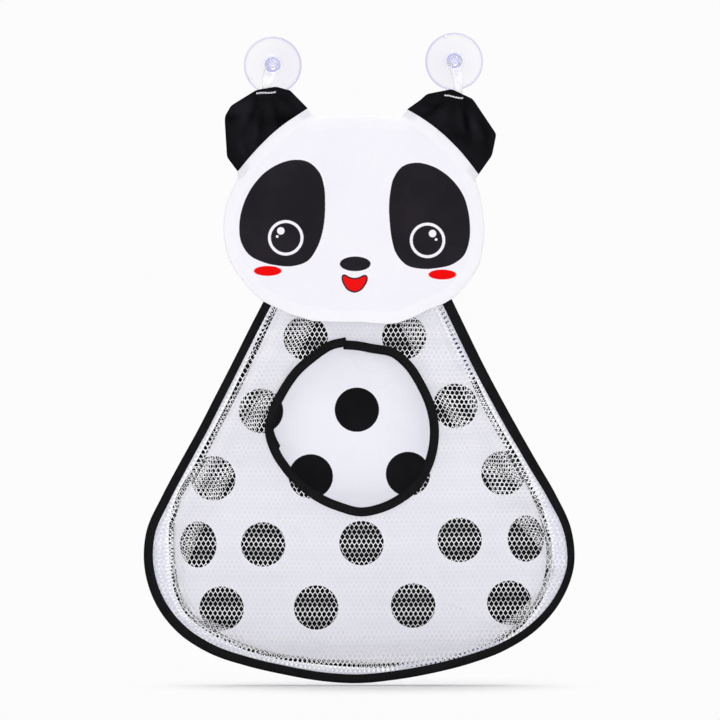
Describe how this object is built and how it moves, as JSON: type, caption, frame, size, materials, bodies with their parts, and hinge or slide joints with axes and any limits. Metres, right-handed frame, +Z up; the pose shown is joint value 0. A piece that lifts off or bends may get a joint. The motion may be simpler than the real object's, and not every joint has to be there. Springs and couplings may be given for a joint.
{
  "type": "bath toy organizer",
  "caption": "Wall-hung net pouch for bath toys, with a printed animal-face head, a round front mouth, a folded gusset and suction-cup hangers.",
  "frame": {"origin": "on the wall plane, midway between the centres of the two suction cups", "axes": "+Z up, +Y into the wall, -Y out of the face and the pouch, +X to the right of someone who faces it"},
  "size_m": [0.3338, 0.0305, 0.505],
  "materials": {
    "clear_vinyl": "clear moulded vinyl with a faint lavender tint",
    "white_ribbon": "satin ribbon",
    "white_thread": "sewing thread",
    "black_satin": "soft satin weave",
    "printed_face_cloth": "smooth polyester weave with a printed face",
    "white_cloth": "smooth polyester weave",
    "dotted_cloth": "smooth polyester weave with printed black dots",
    "black_tape": "folded binding tape",
    "white_net": "warp-knit net"
  },
  "bodies": {
    "hanging_loops": {"left_strap": "white_ribbon", "right_strap": "white_ribbon"},
    "left_cup": {"left_suction_cup": "clear_vinyl"},
    "right_cup": {"right_suction_cup": "clear_vinyl"},
    "bag": {"left_strap_bartack": "white_thread", "right_strap_bartack": "white_thread", "left_ear_front": "black_satin", "left_ear_back": "black_satin", "right_ear_front": "black_satin", "right_ear_back": "black_satin", "head_front_panel": "printed_face_cloth", "head_back_panel": "white_cloth", "back_panel": "dotted_cloth", "rear_edge_binding": "black_tape", "gusset_mesh": "white_net"},
    "pouch_front": {"front_mesh": "white_net", "front_edge_binding": "black_tape", "mouth_binding": "black_tape"}
  },
  "joints": [
    {"name": "left_cup_swivel", "type": "hinge", "parent": "hanging_loops", "child": "left_cup", "pos_m": [-0.0705, -0.0157, -0.0015], "axis": [0, 1, 0], "continuous": true},
    {"name": "right_cup_swivel", "type": "hinge", "parent": "hanging_loops", "child": "right_cup", "pos_m": [0.0705, -0.0157, 0.0015], "axis": [0, 1, 0], "continuous": true},
    {"name": "bag_swing", "type": "hinge", "parent": "hanging_loops", "child": "bag", "pos_m": [0, -0.0153, -0.018], "axis": [-1, 0, 0], "range_deg": [0, 100]},
    {"name": "pouch_open", "type": "hinge", "parent": "bag", "child": "pouch_front", "pos_m": [0, -0.01371, -0.192], "axis": [-1, 0, 0], "range_deg": [0, 11], "deforming": ["gusset_mesh"]}
  ]
}
